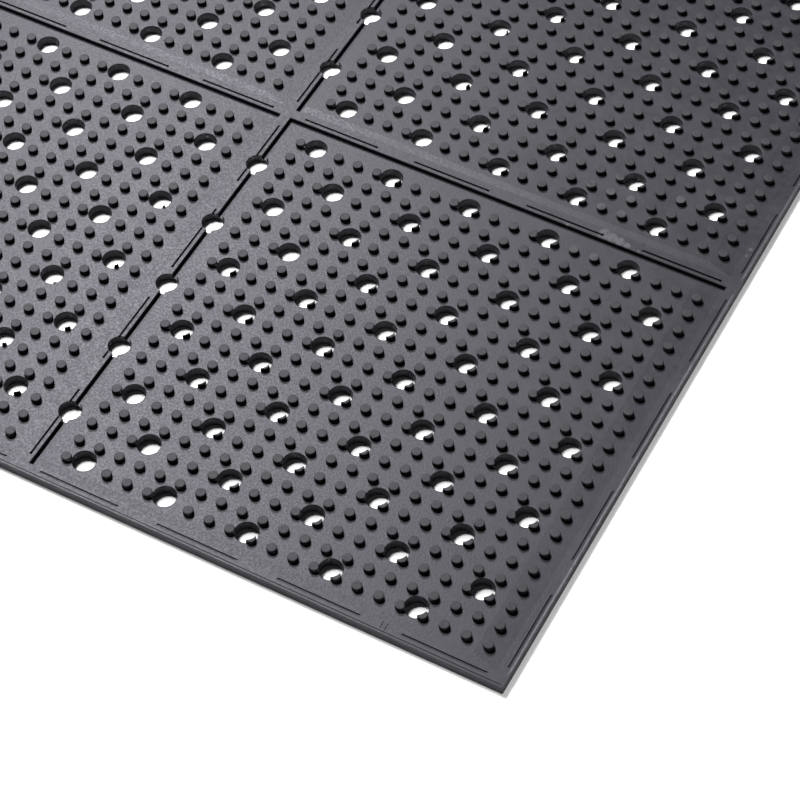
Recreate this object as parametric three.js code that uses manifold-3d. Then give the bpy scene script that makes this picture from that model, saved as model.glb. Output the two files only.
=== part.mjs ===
// Studded rubber floor mat with drain holes, moulded in one piece as a grid of square modules.
// Millimetres, +Z up. The origin is at the centre of the underside.
// X runs across the mat and Y along it. Each module is laid out from its left back corner.
import * as THREE from 'three';
import { mergeVertices } from 'three/addons/utils/BufferGeometryUtils.js';
import Module from 'manifold-3d';

// Modules: squares of equal pitch, told apart by the grooves between them
const modulesAcross = 2;
const modulesAlong = 3;
const modulePitch = 306; // from groove line to groove line
const sideTrim = 4.1; // from the outermost groove lines in to the mat's left and right edges
const endTrim = 3; // and in to its front and back edges

// Sheet
const sheetThickness = 6.4; // under the studs
const stripDrop = 0.4; // a module's strip along its right and front sides lies this much lower
const stripWidth = 8;

// Grooves along a module's left and back sides
const grooveWidth = 3.6;
const grooveDepth = 3.2;
const grooveBridge = 7; // uncut rubber between a groove's end and the next groove or edge

// Studs
const studPitch = 13.4;
const studInset = 15.6; // from the groove line to the first stud's centre
const studMargin = 18; // the least room from the last stud's centre to the next groove line
const studHeight = 3.1;
const studBaseDiameter = 6.5;
const studDraft = 0.25; // how far a stud's side leans in, all round
const studSides = 5;

// Drain holes, at every second stud place in staggered rows, on a grid that slips off the studs'
const holeDiameter = 13.8;
const holeSides = 6;
const holeLeadX = 3.5; // a hole's centre stands this far to the left of its stud place
const holeLeadY = 1.65; // and this far behind it
const holeDriftX = 0.24; // each column of holes leads by this much more, to the left
const holeDriftY = 0.12; // each row of holes leads by this much more, to the back
const holeSkew = 0.15; // and each column by this much more, to the back
const leftHolesShiftX = 3; // the holes of the left modules stand this much further right
const leftHolesShiftY = 1; // and this much further to the front
const middleHolesShiftX = 0.7; // and so do the holes of the middle modules, this much to the right
const middleHolesShiftY = 1.2; // and this much to the front

const overrun = 1; // how far a cutter passes the face that it cuts
const rootDepth = 0.5; // how far a raised form reaches down into what carries it

const matWidth = modulesAcross * modulePitch - 2 * sideTrim;
const matLength = modulesAlong * modulePitch - 2 * endTrim;
const stripTop = sheetThickness - stripDrop;
const studTop = sheetThickness + studHeight;
const studTopDiameter = studBaseDiameter - 2 * studDraft;
const grooveSide = grooveWidth / 2; // from a groove's line to its wall
const lastStud = Math.floor((modulePitch - studInset - studMargin) / studPitch);
const holesPerSide = 1 + Math.floor(lastStud / 2);

const wasm = await Module();
wasm.setup();

function solidOf(geometry) {
  geometry.deleteAttribute('normal');
  geometry.deleteAttribute('uv');
  const welded = mergeVertices(geometry);
  return new wasm.Manifold(new wasm.Mesh({
    numProp: 3,
    vertProperties: new Float32Array(welded.attributes.position.array),
    triVerts: new Uint32Array(welded.index.array),
  }));
}

// A block given by its lowest and highest corners
function block(low, high) {
  const size = high.map((value, axis) => value - low[axis]);
  const centre = high.map((value, axis) => (value + low[axis]) / 2);
  return solidOf(new THREE.BoxGeometry(...size).translate(...centre));
}

// An upright round form as a prism of few sides, with the plan area of the circle it stands for
function peg(x, y, bottom, top, bottomDiameter, topDiameter, sides) {
  const halfSide = Math.PI / sides;
  const spread = Math.sqrt(halfSide / (Math.sin(halfSide) * Math.cos(halfSide)));
  const [topRadius, bottomRadius] = [topDiameter, bottomDiameter].map((value) => (value / 2) * spread);
  const height = top - bottom;
  const upright = new THREE.CylinderGeometry(topRadius, bottomRadius, height, sides).rotateX(Math.PI / 2);
  return solidOf(upright.translate(x, y, bottom + height / 2));
}

// A module's place in the mat, with its corner where its left and back groove lines meet
function moduleAt(column, row) {
  return {
    x: column * modulePitch - sideTrim - matWidth / 2,
    y: (row + 1) * modulePitch - endTrim - matLength / 2,
    atLeft: column === 0,
    atRight: column === modulesAcross - 1,
    atFront: row === 0,
    atBack: row === modulesAlong - 1,
  };
}

// From a module's groove lines to the ends of its rubber, at the next groove or the mat's edge
const reachRight = ({ atRight }) => modulePitch - (atRight ? sideTrim : grooveSide);
const reachFront = ({ atFront }) => modulePitch - (atFront ? endTrim : grooveSide);

// The raised ground of a module, between its grooves and its lower strips
function raisedField(place) {
  const { x, y, atLeft, atBack } = place;
  const left = atLeft ? sideTrim : grooveSide;
  const back = atBack ? endTrim : grooveSide;
  const right = reachRight(place) - stripWidth;
  const front = reachFront(place) - stripWidth;
  return block([x + left, y - front, stripTop - rootDepth], [x + right, y - back, sheetThickness]);
}

// The legs of a module's L-shaped groove, on the sides where it has a neighbour
function grooveLegs(place) {
  const { x, y, atLeft, atBack } = place;
  const floor = sheetThickness - grooveDepth;
  const top = sheetThickness + overrun;
  const left = atLeft ? sideTrim + grooveBridge : -grooveSide;
  const right = reachRight(place) - grooveBridge;
  const back = atBack ? endTrim + grooveBridge : -grooveSide;
  const front = reachFront(place) - grooveBridge;
  const legs = [];
  if (!atLeft) {
    legs.push(block([x - grooveSide, y - front, floor], [x + grooveSide, y - back, top]));
  }
  if (!atBack) {
    legs.push(block([x + left, y - grooveSide, floor], [x + right, y + grooveSide, top]));
  }
  return legs;
}

// A module's drain holes. Column 0 stands on its left groove, so a module at the left has none.
function drainHoles({ x, y, atLeft, atFront, atBack }) {
  const inMiddle = !atFront && !atBack;
  const shiftX = (atLeft ? leftHolesShiftX : 0) + (inMiddle ? middleHolesShiftX : 0);
  const shiftY = (atLeft ? leftHolesShiftY : 0) + (inMiddle ? middleHolesShiftY : 0);
  const cutters = [];
  for (let row = 0; row < holesPerSide; row += 1) {
    for (let column = 1 - (row % 2); column < holesPerSide; column += 2) {
      if (column === 0 && atLeft) continue;
      const stud = { x: studInset + (2 * column - 1) * studPitch, y: studInset + 2 * row * studPitch };
      const leadX = holeLeadX + column * holeDriftX - shiftX;
      const leadY = holeLeadY + row * holeDriftY + column * holeSkew - shiftY;
      const centre = [x + stud.x - leadX, y - stud.y + leadY];
      cutters.push(peg(...centre, -overrun, studTop + overrun, holeDiameter, holeDiameter, holeSides));
    }
  }
  return cutters;
}

// The studs along the mat's right and front edges, which give its side outline
function edgeStuds({ x, y, atRight, atFront }) {
  const studs = [];
  for (let across = 0; across <= lastStud; across += 1) {
    for (let along = 0; along <= lastStud; along += 1) {
      const onEdge = (atRight && across === lastStud) || (atFront && along === lastStud);
      if (!onEdge) continue;
      const centre = [x + studInset + across * studPitch, y - studInset - along * studPitch];
      const root = sheetThickness - rootDepth;
      studs.push(peg(...centre, root, studTop, studBaseDiameter, studTopDiameter, studSides));
    }
  }
  return studs;
}

function matSolid() {
  const modules = [];
  for (let column = 0; column < modulesAcross; column += 1) {
    for (let row = 0; row < modulesAlong; row += 1) modules.push(moduleAt(column, row));
  }
  const raised = modules.flatMap((place) => [raisedField(place), ...edgeStuds(place)]);
  const cutters = modules.flatMap((place) => [...grooveLegs(place), ...drainHoles(place)]);
  const sheet = block([-matWidth / 2, -matLength / 2, 0], [matWidth / 2, matLength / 2, stripTop]);
  const studded = raised.reduce((whole, form) => whole.add(form), sheet);
  return cutters.reduce((whole, cutter) => whole.subtract(cutter), studded);
}

function meshOf(name, solid, material) {
  const { vertProperties, triVerts } = solid.getMesh();
  const geometry = new THREE.BufferGeometry();
  geometry.setAttribute('position', new THREE.BufferAttribute(vertProperties, 3));
  geometry.setIndex(new THREE.BufferAttribute(triVerts, 1));
  geometry.computeVertexNormals();
  const mesh = new THREE.Mesh(geometry, material);
  mesh.name = name;
  return mesh;
}

const charcoalRubber = new THREE.MeshStandardMaterial({ color: 0x5f5e63, roughness: 0.8, metalness: 0 });

const floorMat = new THREE.Group();
floorMat.add(meshOf('mat', matSolid(), charcoalRubber));

export default floorMat;
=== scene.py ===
"""Looks of a moulded rubber floor mat, studded and pierced by drain holes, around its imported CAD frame.

Metres, +Z up, in the frame of the CAD part: the origin is at the centre of the underside.
"""

import logging
import math
from collections.abc import Iterable, Iterator
from dataclasses import dataclass, field
from enum import Enum

import bmesh
import bpy
from mathutils import Euler, Matrix, Vector


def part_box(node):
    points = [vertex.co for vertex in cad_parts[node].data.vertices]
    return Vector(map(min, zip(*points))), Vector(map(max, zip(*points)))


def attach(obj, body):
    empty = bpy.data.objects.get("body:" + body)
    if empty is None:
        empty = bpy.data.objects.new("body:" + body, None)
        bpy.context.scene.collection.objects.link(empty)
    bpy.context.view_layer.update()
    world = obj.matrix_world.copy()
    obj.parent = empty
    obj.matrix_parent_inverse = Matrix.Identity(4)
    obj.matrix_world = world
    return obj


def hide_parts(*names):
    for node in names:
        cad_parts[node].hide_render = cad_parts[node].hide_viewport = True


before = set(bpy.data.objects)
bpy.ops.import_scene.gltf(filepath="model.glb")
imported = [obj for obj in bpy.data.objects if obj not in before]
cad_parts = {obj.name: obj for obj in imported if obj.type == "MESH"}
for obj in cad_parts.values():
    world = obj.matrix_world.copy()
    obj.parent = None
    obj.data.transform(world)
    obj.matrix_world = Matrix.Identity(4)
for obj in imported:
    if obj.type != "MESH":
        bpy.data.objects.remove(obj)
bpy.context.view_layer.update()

MM = 0.001
CAD_NODE = "mat"
BODY = "root"
FLAT_NORMAL = 0.99  # a face whose normal stands this near to upright is shaded flat
OVERRUN = 1 * MM  # how far a cutter passes the face that it cuts
WELD = 0.001 * MM  # corners nearer than this are one
LEVEL_TURN = 1.0  # degrees; faces that turn less than this are one
ROUND_OFF = 1e-6  # room for rounding where pitches are counted
STUD_PITCH = 13.4 * MM
STUD_INSET = 15.6 * MM  # from a module's groove line to its first stud's centre

log = logging.getLogger("floor_mat")


class Run(Enum):
    """The way that a long cut runs on the mat."""

    ACROSS = "x"
    ALONG = "y"


class Join(Enum):
    """How a second solid changes the first."""

    CUT = "DIFFERENCE"
    FUSE = "UNION"


def linear(hex_colour: str) -> tuple[float, float, float, float]:
    """Turns an sRGB hex colour to linear light.

    Args:
        hex_colour: six hex digits, such as "5f5e63".

    Returns:
        Red, green, blue and an alpha of 1.
    """
    values = [int(hex_colour[place:place + 2], 16) / 255 for place in (0, 2, 4)]
    light = [v / 12.92 if v <= 0.04045 else ((v + 0.055) / 1.055) ** 2.4 for v in values]
    return (*light, 1.0)


def add_node(tree: bpy.types.NodeTree, kind: str, inputs: dict | None = None, **settings) -> bpy.types.Node:
    """Adds a node with its settings and links.

    Args:
        tree: the node tree that gets it.
        kind: the node's type name.
        inputs: by socket name or number, a socket to link from or a value to set.
        settings: attributes of the node.

    Returns:
        The new node.
    """
    node = tree.nodes.new(kind)
    for name, value in settings.items():
        setattr(node, name, value)
    for socket, value in (inputs or {}).items():
        if isinstance(value, bpy.types.NodeSocket):
            tree.links.new(value, node.inputs[socket])
        else:
            node.inputs[socket].default_value = value
    return node


def new_object(name: str, shape: bmesh.types.BMesh) -> bpy.types.Object:
    """Makes an object at the origin from a finished shape, with its faces pointing outwards.

    Args:
        name: the object's name.
        shape: its form, which is freed.

    Returns:
        The object, linked to the scene.
    """
    bmesh.ops.recalc_face_normals(shape, faces=shape.faces)
    mesh = bpy.data.meshes.new(name)
    shape.to_mesh(mesh)
    shape.free()
    made = bpy.data.objects.new(name, mesh)
    bpy.context.scene.collection.objects.link(made)
    return made


def settle(piece: bpy.types.Object) -> None:
    """Applies a piece's modifiers to its mesh.

    Args:
        piece: the object, which keeps its name.
    """
    graph = bpy.context.evaluated_depsgraph_get()
    result = bpy.data.meshes.new_from_object(piece.evaluated_get(graph))
    old = piece.data
    piece.modifiers.clear()
    piece.data = result
    bpy.data.meshes.remove(old)


def combine(piece: bpy.types.Object, tool: bpy.types.Object, join: Join) -> None:
    """Cuts a tool out of a piece, or fuses it on, and removes the tool.

    Args:
        piece: the object that changes.
        tool: a closed form, or several that don't touch.
        join: whether it cuts or fuses.
    """
    change = piece.modifiers.new(join.name, "BOOLEAN")
    change.operation = join.value
    change.solver = "MANIFOLD"
    change.object = tool
    settle(piece)
    used = tool.data
    bpy.data.objects.remove(tool)
    bpy.data.meshes.remove(used)


def shade(piece: bpy.types.Object, sharpest: float = 35.0) -> None:
    """Shades curved walls smooth and level faces flat.

    Args:
        piece: the finished object.
        sharpest: edges that turn by more degrees than this stay sharp.
    """
    mesh = piece.data
    mesh.set_sharp_from_angle(angle=math.radians(sharpest))
    for face in mesh.polygons:
        face.use_smooth = abs(face.normal.z) < FLAT_NORMAL


def finish_piece(piece: bpy.types.Object, rubber: bpy.types.Material) -> None:
    """Dresses a piece and hands it to the frame.

    Args:
        piece: the finished object.
        rubber: its material.
    """
    shade(piece)
    piece.data.materials.clear()
    piece.data.materials.append(rubber)
    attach(piece, BODY)
    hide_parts(CAD_NODE)
    log.info("%s: %d faces", piece.name, len(piece.data.polygons))


def turned(profile: Iterable[tuple[float, float]], sides: int) -> bmesh.types.BMesh:
    """Spins a profile into a closed round form about the Z axis.

    Args:
        profile: radius and height of each corner, starting and ending on the axis.
        sides: how many sides the form gets.

    Returns:
        The form.
    """
    shape = bmesh.new()
    corners = [shape.verts.new((radius, 0, height)) for radius, height in profile]
    edges = [shape.edges.new(pair) for pair in zip(corners, corners[1:])]
    bmesh.ops.spin(
        shape, geom=corners + edges, cent=(0, 0, 0), axis=(0, 0, 1),
        angle=2 * math.pi, steps=sides, use_merge=True,
    )
    bmesh.ops.remove_doubles(shape, verts=shape.verts, dist=WELD)
    level = [face for face in shape.faces if len(face.verts) == 3]
    bmesh.ops.dissolve_limit(
        shape, angle_limit=math.radians(LEVEL_TURN), verts=list({v for f in level for v in f.verts}),
        edges=list({e for f in level for e in f.edges}),
    )
    return shape


def rail(section: Iterable[tuple[float, float]], run: Run, start: float, end: float) -> bmesh.types.BMesh:
    """Draws a section out into a long straight form.

    Args:
        section: place across the run and height of each corner, in order round the section.
        run: the way that the form runs.
        start: where it starts along its run.
        end: where it ends.

    Returns:
        The closed form.
    """
    shape = bmesh.new()
    along = run is Run.ALONG
    corners = [shape.verts.new((o, start, z) if along else (start, o, z)) for o, z in section]
    face = shape.faces.new(corners)
    drawn = bmesh.ops.extrude_face_region(shape, geom=[face], use_keep_orig=True)
    moved = [item for item in drawn["geom"] if isinstance(item, bmesh.types.BMVert)]
    length = end - start
    bmesh.ops.translate(shape, verts=moved, vec=(0, length, 0) if along else (length, 0, 0))
    bmesh.ops.recalc_face_normals(shape, faces=shape.faces)
    return shape


def gather(name: str, shapes: Iterable[bmesh.types.BMesh]) -> bpy.types.Object:
    """Joins several forms that don't touch into one object.

    Args:
        name: the object's name.
        shapes: the forms, which are freed.

    Returns:
        The object.
    """
    whole = bmesh.new()
    for shape in shapes:
        part = bpy.data.meshes.new("part")
        shape.to_mesh(part)
        shape.free()
        whole.from_mesh(part)
        bpy.data.meshes.remove(part)
    return new_object(name, whole)


@dataclass(frozen=True)
class Module:
    """One square module of the mat, laid out from where its left and back groove lines meet."""

    name: str
    x: float
    y: float
    at_left: bool
    at_right: bool
    at_front: bool
    at_back: bool


@dataclass(frozen=True)
class Layout:
    """The mat's outline and its grid of modules, worked out from the CAD box."""

    low: Vector
    high: Vector
    across: int = 2
    along: int = 3
    end_trim: float = 3 * MM  # from the first and last groove lines in to the front and back edges
    stud_height: float = 3.1 * MM
    groove_width: float = 3.6 * MM
    groove_bridge: float = 7 * MM  # uncut rubber between a groove's end and the next groove or edge
    strip_width: float = 8 * MM  # the lower strip along a module's right and front sides

    @property
    def pitch(self) -> float:
        """From groove line to groove line."""
        return (self.high.y - self.low.y + 2 * self.end_trim) / self.along

    @property
    def side_trim(self) -> float:
        """From the outermost groove lines in to the left and right edges."""
        return (self.across * self.pitch - (self.high.x - self.low.x)) / 2

    @property
    def sheet_top(self) -> float:
        """Height of the raised fields."""
        return self.high.z - self.stud_height

    @property
    def wall(self) -> float:
        """From a groove's line to its wall."""
        return self.groove_width / 2

    def modules(self) -> Iterator[Module]:
        """Gives every module of the mat, from the left front one on.

        Returns:
            The modules.
        """
        for column, side in enumerate(("left", "right")[:self.across]):
            for row, place in enumerate(("front", "middle", "back")[:self.along]):
                yield Module(
                    name=f"{side}_{place}",
                    x=self.low.x - self.side_trim + column * self.pitch,
                    y=self.low.y - self.end_trim + (row + 1) * self.pitch,
                    at_left=column == 0,
                    at_right=column == self.across - 1,
                    at_front=row == 0,
                    at_back=row == self.along - 1,
                )

    def reach_right(self, module: Module) -> float:
        """From a module's left groove line to the right end of its rubber."""
        return self.pitch - (self.side_trim if module.at_right else self.wall)

    def reach_front(self, module: Module) -> float:
        """From a module's back groove line to the front end of its rubber."""
        return self.pitch - (self.end_trim if module.at_front else self.wall)


@dataclass(frozen=True)
class DrainHoles:
    """The staggered drain holes, on a grid that slips off the studs' a little from hole to hole."""

    layout: Layout
    stud_pitch: float
    stud_inset: float
    diameter: float = 13.8 * MM
    sides: int = 24
    per_side: int = 11
    rim: float = 0.45 * MM  # how far the rounded rim reaches out and down
    lead_x: float = 3.5 * MM  # how far a hole's centre stands to the left of its stud place
    lead_y: float = 1.65 * MM  # and how far behind it
    drift_x: float = 0.24 * MM  # each column leads by this much more, to the left
    drift_y: float = 0.12 * MM  # each row leads by this much more, to the back
    skew: float = 0.15 * MM  # and each column by this much more, to the back
    left_shift_x: float = 3 * MM  # the left modules' holes stand this much further right
    left_shift_y: float = 1 * MM  # and this much further to the front
    middle_shift_x: float = 0.7 * MM  # and so do the middle modules' holes, this much to the right
    middle_shift_y: float = 1.2 * MM  # and this much to the front

    def centres(self, module: Module) -> Iterator[tuple[float, float]]:
        """Gives the centre of each hole of a module.

        Args:
            module: the module that is pierced.

        Returns:
            Places across and along the mat.
        """
        in_middle = not (module.at_front or module.at_back)
        shift_x = self.left_shift_x * module.at_left + self.middle_shift_x * in_middle
        shift_y = self.left_shift_y * module.at_left + self.middle_shift_y * in_middle
        for row in range(self.per_side):
            for column in range(1 - row % 2, self.per_side, 2):
                if column == 0 and module.at_left:
                    continue
                lead_x = self.lead_x + column * self.drift_x - shift_x
                lead_y = self.lead_y + row * self.drift_y + column * self.skew - shift_y
                stud_x = self.stud_inset + (2 * column - 1) * self.stud_pitch
                stud_y = self.stud_inset + 2 * row * self.stud_pitch
                yield module.x + stud_x - lead_x, module.y - stud_y + lead_y

    def cutters(self, name: str, centres: Iterable[tuple[float, float]], rounded: bool) -> bpy.types.Object:
        """Makes the pins that cut the holes.

        Args:
            name: the object's name.
            centres: where they stand.
            rounded: whether a collar rounds the sheet's rim.

        Returns:
            All the pins as one object.
        """
        radius, top = self.diameter / 2, self.layout.sheet_top
        over = self.layout.high.z + OVERRUN
        collar = [
            (radius, top - self.rim),
            (radius + self.rim * (1 - math.cos(math.pi / 6)), top - self.rim * (1 - math.sin(math.pi / 6))),
            (radius + self.rim * (1 - math.cos(math.pi / 3)), top - self.rim * (1 - math.sin(math.pi / 3))),
            (radius + self.rim, top),
            (radius + self.rim, over),
        ]
        sides = collar if rounded else [(radius, over)]
        pin = turned([(0, -OVERRUN), (radius, -OVERRUN), *sides, (0, over)], self.sides)
        shapes = []
        for x, y in centres:
            shape = pin.copy()
            bmesh.ops.translate(shape, verts=shape.verts, vec=(x, y, 0))
            shapes.append(shape)
        pin.free()
        return gather(name, shapes)


@dataclass(frozen=True)
class Studs:
    """The round studs of one module, in a square grid, cut where a drain hole passes through them."""

    layout: Layout
    holes: DrainHoles
    pitch: float
    inset: float  # from the groove line to the first stud's centre
    margin: float = 18 * MM  # the least room from the last stud's centre to the next groove line
    base_radius: float = 3.2 * MM
    top_radius: float = 3.05 * MM
    crown_radius: float = 2.35 * MM  # of the level disc on top, inside the rounded rim
    shoulder: float = 0.5 * MM  # height of the rounded rim
    bend: float = 0.25  # where the rim bends, as a share of its width and of its height below the crown
    root: float = 0.5 * MM  # how far a stud reaches down into the sheet
    sides: int = 14
    back_columns: int = 2  # in so many columns, the holes of the back corner have lost their stud
    back_steps: int = 1  # and a hole's row lies at most this far beyond its column there
    front_steps: int = 7  # in the front corner, such a hole's row lies this far or more beyond its column

    @property
    def count(self) -> int:
        """How many studs stand along a module's side."""
        return 1 + math.floor((self.layout.pitch - self.inset - self.margin) / self.pitch + ROUND_OFF)

    def one(self) -> bmesh.types.BMesh:
        """Turns one stud, with its foot in the sheet and a rounded rim round a level crown.

        Returns:
            The stud, at the origin in plan.
        """
        top, bottom = self.layout.high.z, self.layout.sheet_top
        reach = self.top_radius * (1 - self.bend) + self.crown_radius * self.bend
        profile = [
            (0, bottom - self.root),
            (self.base_radius, bottom - self.root),
            (self.top_radius, top - self.shoulder),
            (reach, top - self.shoulder * self.bend),
            (self.crown_radius, top),
            (0, top),
        ]
        return turned(profile, self.sides)

    def left_out(self, module: Module) -> list[tuple[float, float]]:
        """Gives the places of the studs that the holes at the module's corners leave nothing of.

        Args:
            module: where they would stand.

        Returns:
            Places across and along the mat.
        """
        first_x, first_y = module.x + self.inset, module.y - self.inset
        return [
            (first_x + (2 * column - 1) * self.pitch, first_y - 2 * row * self.pitch)
            for row in range(self.holes.per_side)
            for column in range(1 + row % 2, self.holes.per_side, 2)
            if row - column >= self.front_steps
            or (column <= self.back_columns and row - column <= self.back_steps)
        ]

    def thin_out(self, piece: bpy.types.Object, module: Module) -> None:
        """Takes the studs away that aren't moulded.

        Args:
            piece: the full grid of studs.
            module: where they stand.
        """
        gaps = self.left_out(module)
        shape = bmesh.new()
        shape.from_mesh(piece.data)
        near = self.pitch / 2
        gone = [v for v in shape.verts if any(math.dist(v.co.xy, gap) < near for gap in gaps)]
        bmesh.ops.delete(shape, geom=gone, context="VERTS")
        shape.to_mesh(piece.data)
        shape.free()

    def build(self, module: Module) -> bpy.types.Object:
        """Makes all the studs of a module.

        Args:
            module: where they stand.

        Returns:
            The studs as one object.
        """
        piece = new_object(f"studs_{module.name}", self.one())
        for direction in ((self.pitch, 0, 0), (0, -self.pitch, 0)):
            row = piece.modifiers.new("row", "ARRAY")
            row.count = self.count
            row.use_relative_offset = False
            row.use_constant_offset = True
            row.constant_offset_displace = direction
        settle(piece)
        piece.data.transform(Matrix.Translation((module.x + self.inset, module.y - self.inset, 0)))
        self.thin_out(piece, module)
        pins = self.holes.cutters("stud_pins", self.holes.centres(module), rounded=False)
        combine(piece, pins, Join.CUT)
        return piece


@dataclass(frozen=True)
class Sheet:
    """The moulded sheet: raised fields, lower strips, grooves, slots, edge line and drain holes."""

    layout: Layout
    holes: DrainHoles
    strip_drop: float = 0.4 * MM
    front_slope: float = 5 * MM  # width of the slope from a field down to the strip at its front
    side_slope: float = 16 * MM  # and to the strip at its right
    arris: float = 0.35 * MM
    corner: float = 0.8 * MM  # radius of the sheet's upright corners
    draft: float = 0.45 * MM  # how far the upper wall stands in from the foot
    draft_height: float = 2.6 * MM
    lip_width: float = 1.3 * MM  # of the ramp up to the right edge
    lip_rise: float = 0.3 * MM
    groove_depth: float = 3.2 * MM
    slot_width: float = 0.85 * MM
    slot_depth: float = 1.5 * MM
    slot_arris: float = 0.2 * MM
    outer_slot_depth: float = 0.6 * MM  # of the slots along the mat's own edges
    slot_lip_width: float = 0.6 * MM  # of the low bead on both sides of a slot
    slot_lip_rise: float = 0.14 * MM
    bulb_radius: float = 0.85 * MM  # of the round end that each slot has on its right or at its front
    bulb_sides: int = 12
    slot_length: float = 51 * MM
    slot_start: float = 7 * MM  # from the groove line to the first slot's end
    slot_step: float = 77.2 * MM
    slot_count: int = 4
    slot_offset: float = 3 * MM  # from the outer edge or groove wall to a slot's centre line
    front_slot_offset: float = 4.9 * MM  # and from the mat's front edge
    line_inset: float = 1.25 * MM  # from the mat's edge to the fine line inside it
    line_width: float = 0.5 * MM
    line_depth: float = 0.3 * MM
    mark_x: float = 226 * MM  # of the first of two short mould lines across the front strip
    mark_step: float = 3 * MM
    mark_inset: float = 5.2 * MM  # from the mat's front edge to their middles
    mark_length: float = 4.5 * MM

    @property
    def strip_top(self) -> float:
        """Height of the lower strips."""
        return self.layout.sheet_top - self.strip_drop

    def slab(self) -> bpy.types.Object:
        """Makes the plain sheet, with rounded corners and arrises and walls that flare out at the foot.

        Returns:
            The sheet as one object.
        """
        low, high, top = self.layout.low, self.layout.high, self.layout.sheet_top
        size = Vector((high.x - low.x, high.y - low.y, top))
        place = Matrix.Translation((low + high).xy.to_3d() / 2 + Vector((0, 0, top / 2)))
        shape = bmesh.new()
        bmesh.ops.create_cube(shape, size=1, matrix=place @ Matrix.Diagonal(size.to_4d()))
        upright = [e for e in shape.edges if abs(e.verts[0].co.z - e.verts[1].co.z) > top / 2]
        bmesh.ops.bevel(
            shape, geom=upright, offset=self.corner, segments=4, profile=0.5, affect="EDGES", material=-1,
        )
        shape_geometry = list(shape.verts) + list(shape.edges) + list(shape.faces)
        bmesh.ops.bisect_plane(
            shape, geom=shape_geometry, plane_co=(0, 0, self.draft_height), plane_no=(0, 0, 1),
        )
        above = [v for v in shape.verts if v.co.z > self.draft_height / 2]
        shrink = Vector((1 - 2 * self.draft / size.x, 1 - 2 * self.draft / size.y, 1))
        bmesh.ops.scale(shape, verts=above, vec=shrink)
        rim = [e for e in shape.edges if min(v.co.z for v in e.verts) > top - self.draft / 2]
        bmesh.ops.bevel(
            shape, geom=rim, offset=self.arris, segments=2, profile=0.5, affect="EDGES", material=-1,
        )
        return new_object("mat_sheet", shape)

    def troughs(self, run: Run) -> bpy.types.Object:
        """Makes the cutters that lower the strips between and beside the fields.

        Args:
            run: the way that the strips run.

        Returns:
            The cutters as one object.
        """
        layout, top, floor = self.layout, self.layout.sheet_top, self.strip_top
        over = layout.high.z
        shapes = []
        for module in layout.modules():
            if run is Run.ALONG and module.at_front:
                foot = module.x + layout.reach_right(module) - layout.strip_width
                brow = foot - self.side_slope
                far = layout.high.x + OVERRUN if module.at_right else module.x + layout.pitch + layout.wall
                ramp = [(far, floor)]
                if module.at_right:
                    brink = layout.high.x - self.draft
                    ridge = floor + self.lip_rise
                    ramp = [(brink - self.lip_width, floor), (brink, ridge), (far, ridge)]
                section = [(brow, top), (foot, floor), *ramp, (far, over), (brow, over)]
                shapes.append(rail(section, run, layout.low.y - OVERRUN, layout.high.y + OVERRUN))
            if run is Run.ACROSS and module.at_left:
                foot = module.y - layout.reach_front(module) + layout.strip_width
                brow = foot + self.front_slope
                far = layout.low.y - OVERRUN if module.at_front else module.y - layout.pitch - layout.wall
                section = [(brow, top), (foot, floor), (far, floor), (far, over), (brow, over)]
                shapes.append(rail(section, run, layout.low.x - OVERRUN, layout.high.x + OVERRUN))
        return gather("troughs", shapes)

    def grooves(self, run: Run) -> bpy.types.Object:
        """Makes the cutters of the grooves between the modules.

        Args:
            run: the way that the grooves run.

        Returns:
            The cutters as one object.
        """
        layout, wall, arris = self.layout, self.layout.wall, self.arris
        floor, over = layout.sheet_top - self.groove_depth, layout.high.z
        bridge = layout.groove_bridge
        shapes = []
        for module in layout.modules():
            # The strip lies on the neighbour's side, which is left of a groove or behind it.
            turn = -1 if run is Run.ALONG else 1
            at = module.x if run is Run.ALONG else module.y
            section = [
                (at + turn * wall, floor),
                (at + turn * wall, self.strip_top - arris),
                (at + turn * (wall + arris), self.strip_top),
                (at + turn * (wall + arris), over),
                (at - turn * (wall + arris), over),
                (at - turn * (wall + arris), layout.sheet_top),
                (at - turn * wall, layout.sheet_top - arris),
                (at - turn * wall, floor),
            ]
            if run is Run.ALONG and not module.at_left:
                start = module.y - (layout.end_trim + bridge if module.at_back else -wall)
                end = module.y - layout.reach_front(module) + bridge
                shapes.append(rail(section, run, end, start))
            if run is Run.ACROSS and not module.at_back:
                start = module.x + (layout.side_trim + bridge if module.at_left else -wall)
                end = module.x + layout.reach_right(module) - bridge
                shapes.append(rail(section, run, start, end))
        return gather("grooves", shapes)

    def slot_runs(self) -> Iterator[tuple[Run, float, float, float, bool]]:
        """Gives every slot of the mat.

        Returns:
            Its run, its place across the run, where it starts and ends, and if it is at the mat's edge.
        """
        layout = self.layout
        for module in layout.modules():
            right = module.x + layout.reach_right(module) - self.slot_offset
            offset = self.front_slot_offset if module.at_front else self.slot_offset
            front = module.y - layout.reach_front(module) + offset
            for number in range(self.slot_count):
                start = self.slot_start + number * self.slot_step
                end = start + self.slot_length
                yield Run.ALONG, right, module.y - end, module.y - start, module.at_right
                yield Run.ACROSS, front, module.x + start, module.x + end, module.at_front

    def slot_lips(self) -> bpy.types.Object:
        """Makes the low beads that the slots are cut through.

        Returns:
            The beads as one object.
        """
        top, bottom = self.strip_top + self.slot_lip_rise, self.strip_top - self.arris
        crown = self.slot_width / 2 + self.slot_lip_width / 2
        foot = crown + self.slot_lip_width / 2
        shapes = []
        for run, at, first, last, _ in self.slot_runs():
            section = [
                (at - foot, bottom), (at - crown, top), (at + crown, top), (at + foot, bottom),
            ]
            shapes.append(rail(section, run, first - crown, last + crown))
        return gather("slot_lips", shapes)

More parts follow.
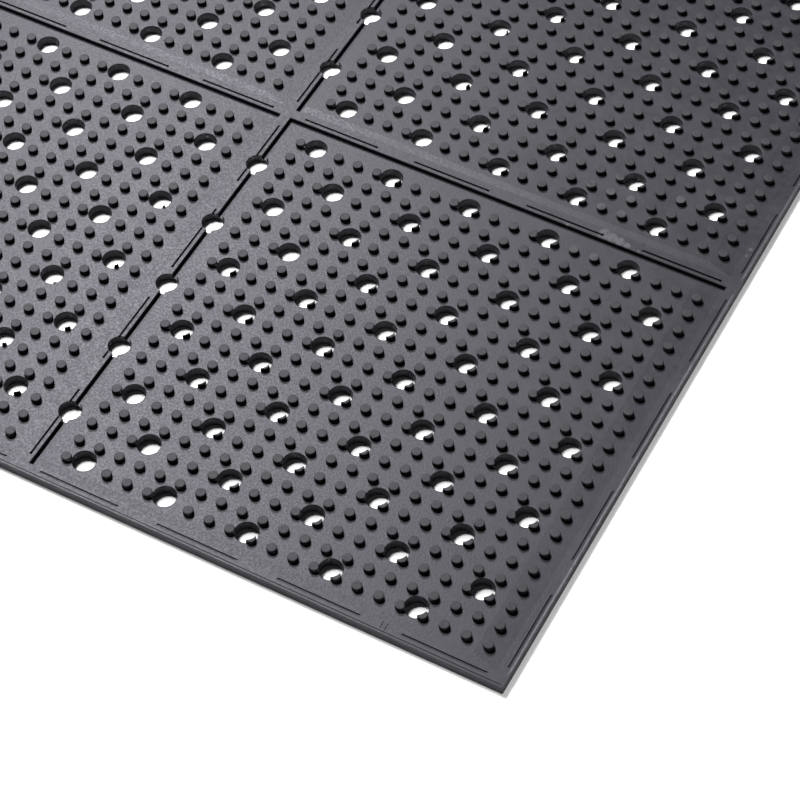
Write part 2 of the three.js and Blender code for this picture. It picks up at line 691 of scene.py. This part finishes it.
    def slots(self, run: Run) -> bpy.types.Object:
        """Makes the cutters of the narrow slots in the strips.

        Args:
            run: the way that the slots run.

        Returns:
            The cutters as one object.
        """
        half, over = self.slot_width / 2, self.layout.high.z
        lip, ledge = half + self.slot_arris, self.strip_top + self.slot_lip_rise - self.slot_arris
        brim = self.strip_top + self.slot_lip_rise
        shapes = []
        for way, at, first, last, at_edge in self.slot_runs():
            if way is not run:
                continue
            floor = self.strip_top - (self.outer_slot_depth if at_edge else self.slot_depth)
            section = [
                (at - half, floor), (at - half, ledge), (at - lip, brim), (at - lip, over),
                (at + lip, over), (at + lip, brim), (at + half, ledge), (at + half, floor),
            ]
            shapes.append(rail(section, run, first, last))
        return gather("slots", shapes)

    def slot_bulbs(self) -> bpy.types.Object:
        """Makes the cutters of the slots' round ends.

        Returns:
            The cutters as one object.
        """
        radius, over = self.bulb_radius, self.layout.high.z
        shapes = []
        for run, at, first, last, at_edge in self.slot_runs():
            floor = self.strip_top - (self.outer_slot_depth if at_edge else self.slot_depth)
            bulb = turned([(0, floor), (radius, floor), (radius, over), (0, over)], self.bulb_sides)
            place = (at, first, 0) if run is Run.ALONG else (last, at, 0)
            bmesh.ops.translate(bulb, verts=bulb.verts, vec=place)
            shapes.append(bulb)
        return gather("slot_bulbs", shapes)

    def edge_lines(self) -> bpy.types.Object:
        """Makes the cutters of the fine line just inside the mat's front and back edges.

        Returns:
            The cutters as one object.
        """
        layout, half, over = self.layout, self.line_width / 2, self.layout.high.z
        inset = self.draft + self.line_inset
        shapes = []
        places = (layout.low.y + inset, self.strip_top), (layout.high.y - inset, layout.sheet_top)
        for at, level in places:
            section = [
                (at - half, over), (at - half, level), (at, level - self.line_depth),
                (at + half, level), (at + half, over),
            ]
            shapes.append(rail(section, Run.ACROSS, layout.low.x + inset, layout.high.x - inset))
        return gather("edge_lines", shapes)

    def mould_marks(self) -> bpy.types.Object:
        """Makes the cutters of two short fine lines across the front strip.

        Returns:
            The cutters as one object.
        """
        half, level, over = self.line_width / 2, self.strip_top, self.layout.high.z
        middle = self.layout.low.y + self.mark_inset
        shapes = []
        for at in (self.mark_x, self.mark_x + self.mark_step):
            section = [
                (at - half, over), (at - half, level), (at, level - self.line_depth),
                (at + half, level), (at + half, over),
            ]
            start = middle - self.mark_length / 2
            shapes.append(rail(section, Run.ALONG, start, start + self.mark_length))
        return gather("mould_marks", shapes)

    def build(self) -> bpy.types.Object:
        """Makes the whole sheet.

        Returns:
            The sheet as one object.
        """
        piece = self.slab()
        for tool, join in (
            (self.troughs(Run.ALONG), Join.CUT), (self.troughs(Run.ACROSS), Join.CUT),
            (self.edge_lines(), Join.CUT), (self.mould_marks(), Join.CUT),
            (self.slot_lips(), Join.FUSE),
            (self.slots(Run.ALONG), Join.CUT), (self.slots(Run.ACROSS), Join.CUT),
            (self.slot_bulbs(), Join.CUT),
            (self.grooves(Run.ALONG), Join.CUT), (self.grooves(Run.ACROSS), Join.CUT),
        ):
            combine(piece, tool, join)
        centres = [centre for module in self.layout.modules() for centre in self.holes.centres(module)]
        combine(piece, self.holes.cutters("sheet_pins", centres, rounded=True), Join.CUT)
        return piece


@dataclass(frozen=True)
class Patch:
    """A small worn or dusty place: where its middle lies and how far it reaches."""

    x: float
    y: float
    reach: float


@dataclass(frozen=True)
class MouldedRubber:
    """Mineral-filled black rubber from a matt mould, faded to charcoal: cloudy, with a fine grain.

    Its surface scatters light like eggshell, so it is pale where it faces the lamps and black elsewhere.
    """

    name: str
    dark: str
    light: str
    roughness_low: float
    roughness_high: float
    specular: float  # below 0.5, because the dusty bloom on the rubber dulls it
    worn: tuple[Patch, ...] = ()
    gloss_tint: str = "f1effb"
    dust: str = "8c8b8f"
    dust_share: float = 0.17  # of the dust's colour where a patch is at its densest
    dust_fade: float = 0.7  # from this share of its reach outwards, a patch of dust thins out
    dust_break: tuple[float, float] = (0.3, 0.48)  # mottle at which the dust is gone and is whole
    cloud_size: float = 22 * MM
    mottle_size: float = 5 * MM
    mottle_share: float = 0.45  # of the mottle in the colour's clouds
    colour_range: tuple[float, float] = (0.35, 0.65)  # clouds that are darkest and lightest
    grain_share: float = 0.75  # of the grain in the roughness
    roughness_range: tuple[float, float] = (0.38, 0.62)  # texture that is smoothest and roughest
    ior: float = 1.52
    grain_size: float = 1.3 * MM  # the real grain of about 0.3 mm is drawn coarser, so that it shows
    grain_height: float = 0.08 * MM

    def wear(
        self, tree: bpy.types.NodeTree, place: bpy.types.NodeSocket, mottle: bpy.types.NodeSocket,
    ) -> bpy.types.NodeSocket:
        """Adds the nodes that say how dusty each point is.

        Args:
            tree: the rubber's node tree.
            place: the point's object coordinates.
            mottle: the noise that breaks the patches up.

        Returns:
            The share of dust, 0 off the patches.
        """
        level = add_node(
            tree, "ShaderNodeVectorMath", {0: place, 1: (1, 1, 0)}, operation="MULTIPLY",
        ).outputs["Vector"]
        clean = add_node(tree, "ShaderNodeValue")
        clean.outputs["Value"].default_value = 0.0
        share = clean.outputs["Value"]
        for patch in self.worn:
            away = add_node(
                tree, "ShaderNodeVectorMath", {0: level, 1: (patch.x, patch.y, 0)}, operation="DISTANCE",
            ).outputs["Value"]
            near = add_node(
                tree, "ShaderNodeMapRange",
                {"Value": away, "From Min": patch.reach, "From Max": patch.reach * self.dust_fade,
                 "To Max": self.dust_share},
            ).outputs["Result"]
            share = add_node(
                tree, "ShaderNodeMath", {0: share, 1: near}, operation="MAXIMUM",
            ).outputs["Value"]
        broken = add_node(
            tree, "ShaderNodeMapRange",
            {"Value": mottle, "From Min": self.dust_break[0], "From Max": self.dust_break[1]},
        ).outputs["Result"]
        return add_node(
            tree, "ShaderNodeMath", {0: share, 1: broken}, operation="MULTIPLY",
        ).outputs["Value"]

    def material(self) -> bpy.types.Material:
        """Makes the rubber's node material.

        Returns:
            The material.
        """
        made = bpy.data.materials.new(self.name)
        made.use_nodes = True
        tree = made.node_tree
        tree.nodes.clear()
        place = add_node(tree, "ShaderNodeTexCoord").outputs["Object"]
        cloud = add_node(
            tree, "ShaderNodeTexNoise",
            {"Vector": place, "Scale": 1 / self.cloud_size, "Detail": 3.0, "Roughness": 0.55},
        ).outputs["Fac"]
        mottle = add_node(
            tree, "ShaderNodeTexNoise",
            {"Vector": place, "Scale": 1 / self.mottle_size, "Detail": 2.0, "Roughness": 0.6},
        ).outputs["Fac"]
        grain = add_node(
            tree, "ShaderNodeTexNoise",
            {"Vector": place, "Scale": 1 / self.grain_size, "Detail": 2.0, "Roughness": 0.7},
        ).outputs["Fac"]
        blend = add_node(
            tree, "ShaderNodeMix", {"Factor": self.mottle_share, "A": cloud, "B": mottle}, data_type="FLOAT",
        ).outputs["Result"]
        shade_of = add_node(
            tree, "ShaderNodeMapRange",
            {"Value": blend, "From Min": self.colour_range[0], "From Max": self.colour_range[1]},
        ).outputs["Result"]
        colour = add_node(
            tree, "ShaderNodeMix",
            {"Factor": shade_of, "A": linear(self.dark), "B": linear(self.light)},
            data_type="RGBA",
        )
        texture = add_node(
            tree, "ShaderNodeMix", {"Factor": self.grain_share, "A": blend, "B": grain}, data_type="FLOAT",
        ).outputs["Result"]
        roughness = add_node(
            tree, "ShaderNodeMapRange",
            {"Value": texture, "From Min": self.roughness_range[0], "From Max": self.roughness_range[1],
             "To Min": self.roughness_low, "To Max": self.roughness_high},
        ).outputs["Result"]
        dusted = add_node(
            tree, "ShaderNodeMix",
            {"Factor": self.wear(tree, place, mottle), "A": colour.outputs["Result"], "B": linear(self.dust)},
            data_type="RGBA",
        )
        relief = add_node(
            tree, "ShaderNodeBump",
            {"Height": grain, "Distance": self.grain_height, "Strength": 1.0},
        ).outputs["Normal"]
        rubber = add_node(
            tree, "ShaderNodeBsdfPrincipled",
            {"Base Color": dusted.outputs["Result"], "Roughness": roughness, "Normal": relief,
             "IOR": self.ior, "Specular IOR Level": self.specular,
             "Specular Tint": linear(self.gloss_tint)},
        )
        add_node(tree, "ShaderNodeOutputMaterial", {"Surface": rubber.outputs["BSDF"]})
        return made


@dataclass(frozen=True)
class StudioFloor:
    """A matt white studio floor, so pale that it shows no edge."""

    name: str = "matt_white_studio_paper"
    colour: str = "f4f4f4"
    roughness: float = 0.9
    size: float = 40.0
    drop: float = 0.2 * MM  # below the mat's underside

    def build(self) -> bpy.types.Object:
        """Makes the floor.

        Returns:
            The floor's object.
        """
        shape = bmesh.new()
        bmesh.ops.create_grid(
            shape, x_segments=1, y_segments=1, size=self.size / 2,
            matrix=Matrix.Translation((0, 0, -self.drop)),
        )
        floor = new_object("studio_floor", shape)
        made = bpy.data.materials.new(self.name)
        made.use_nodes = True
        paper = made.node_tree.nodes["Principled BSDF"]
        paper.inputs["Base Color"].default_value = linear(self.colour)
        paper.inputs["Roughness"].default_value = self.roughness
        floor.data.materials.append(made)
        return floor


@dataclass(frozen=True)
class Aim:
    """Where a camera or lamp looks from: a target, two angles and a distance."""

    target: Vector
    azimuth: float  # degrees; 0 looks along +Y from the front
    elevation: float  # degrees above the floor
    distance: float
    roll: float = 0.0  # degrees

    def matrix(self) -> Matrix:
        """Gives the placing matrix of an object that looks down its own -Z axis.

        Returns:
            The matrix.
        """
        turn = Euler((math.radians(90 - self.elevation), 0, math.radians(self.azimuth)), "XYZ").to_matrix()
        turn = turn @ Matrix.Rotation(math.radians(self.roll), 3, "Z")
        place = self.target + turn @ Vector((0, 0, self.distance))
        return Matrix.Translation(place) @ turn.to_4x4()


@dataclass(frozen=True)
class PhotoCamera:
    """The camera at the photograph's viewing angle."""

    aim: Aim = Aim(Vector((0.16332, -0.31346, 0.0064)), 29.886, 53.248, 1.4986, roll=-1.946)
    lens: float = 117.64  # mm, on a sensor 36 mm wide
    sensor: float = 36.0
    nearest: float = 0.05  # what lies nearer isn't drawn

    def build(self) -> bpy.types.Object:
        """Makes the camera and sets it as the scene's.

        Returns:
            The camera's object.
        """
        eye = bpy.data.cameras.new("photo_camera")
        eye.lens = self.lens
        eye.sensor_width = self.sensor
        eye.clip_start = self.nearest
        made = bpy.data.objects.new("photo_camera", eye)
        bpy.context.scene.collection.objects.link(made)
        made.matrix_world = self.aim.matrix()
        bpy.context.scene.camera = made
        return made


@dataclass(frozen=True)
class Lamp:
    """One round soft lamp of the studio."""

    name: str
    azimuth: float  # degrees, as for a camera that stands at the lamp
    elevation: float
    distance: float
    size: float
    power: float  # watts

    def build(self, target: Vector) -> bpy.types.Object:
        """Makes the lamp.

        Args:
            target: the point that it shines on.

        Returns:
            The lamp's object.
        """
        lamp = bpy.data.lights.new(self.name, "AREA")
        lamp.shape = "DISK"
        lamp.size = self.size
        lamp.energy = self.power
        made = bpy.data.objects.new(self.name, lamp)
        bpy.context.scene.collection.objects.link(made)
        made.matrix_world = Aim(target, self.azimuth, self.elevation, self.distance).matrix()
        return made

    def build_for(self, target: Vector, lit: bpy.types.Object) -> bpy.types.Object:
        """Makes the lamp as one that lights a single object.

        Args:
            target: the point that it shines on.
            lit: the only object that it lights.

        Returns:
            The lamp's object.
        """
        made = self.build(target)
        receivers = bpy.data.collections.new(f"{self.name}_receivers")
        receivers.objects.link(lit)
        made.light_linking.receiver_collection = receivers
        return made


@dataclass(frozen=True)
class SoftLight:
    """Plain soft studio light: key and top lamps, a low lamp that keeps the floor white, a dim surround."""

    target: Vector = field(default_factory=lambda: Vector((0.1, -0.3, 0)))
    key: Lamp = Lamp("key_lamp", azimuth=222.5, elevation=48, distance=2.2, size=0.5, power=64)
    top: Lamp = Lamp("top_lamp", azimuth=245, elevation=63, distance=2.2, size=0.5, power=56)
    floor_wash: Lamp = Lamp("floor_lamp", azimuth=72, elevation=20, distance=2.6, size=0.4, power=70)
    surround: str = "ffffff"
    surround_strength: float = 0.02

    def build(self, floor: bpy.types.Object) -> None:
        """Makes the lamps and the surround.

        Args:
            floor: the studio floor.
        """
        self.key.build(self.target)
        self.top.build(self.target)
        self.floor_wash.build_for(self.target, floor)
        world = bpy.data.worlds.new("surround")
        world.use_nodes = True
        sky = world.node_tree.nodes["Background"]
        sky.inputs["Color"].default_value = linear(self.surround)
        sky.inputs["Strength"].default_value = self.surround_strength
        bpy.context.scene.world = world


def main() -> None:
    """Builds the camera, the light, the floor and the mat's pieces in order."""
    PhotoCamera().build()
    SoftLight().build(StudioFloor().build())
    bpy.context.scene.view_settings.view_transform = "Standard"
    # Pale scuffs on the strip behind the right front module, and flecks near the right edge
    scuffs = tuple(
        Patch(x * MM, y * MM, reach * MM) for x, y, reach in (
            (213, -147, 4.5), (218.5, -147.2, 4), (224, -148, 3.5), (229, -149, 2.5),
            (237, -150, 1.3), (190, -150.5, 1.3), (296, -118, 1.5), (295.5, -123.5, 1.3),
        )
    )
    dusty_studs = tuple(
        Patch(x * MM, y * MM, reach * MM)
        for x, y, reach in ((203, -123, 21), (210, -169, 11), (244, -103.5, 5))
    )
    sheet_rubber = MouldedRubber(
        "moulded_black_rubber", "212125", "2c2c31", 0.38, 0.53, 0.19, worn=scuffs,
    ).material()
    # The stud tops are trodden duller and rougher than the sheet, and a few are dusty.
    stud_rubber = MouldedRubber(
        "worn_stud_rubber", "2b2b2e", "363639", 0.53, 0.62, 0.13, worn=dusty_studs, dust_share=0.1,
    ).material()
    layout = Layout(*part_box(CAD_NODE))
    holes = DrainHoles(layout, STUD_PITCH, STUD_INSET)
    studs = Studs(layout, holes, STUD_PITCH, STUD_INSET)
    finish_piece(Sheet(layout, holes).build(), sheet_rubber)
    for module in layout.modules():
        finish_piece(studs.build(module), stud_rubber)


if __name__ == "__main__":
    logging.basicConfig(level=logging.INFO, format="%(name)s %(message)s")
    main()
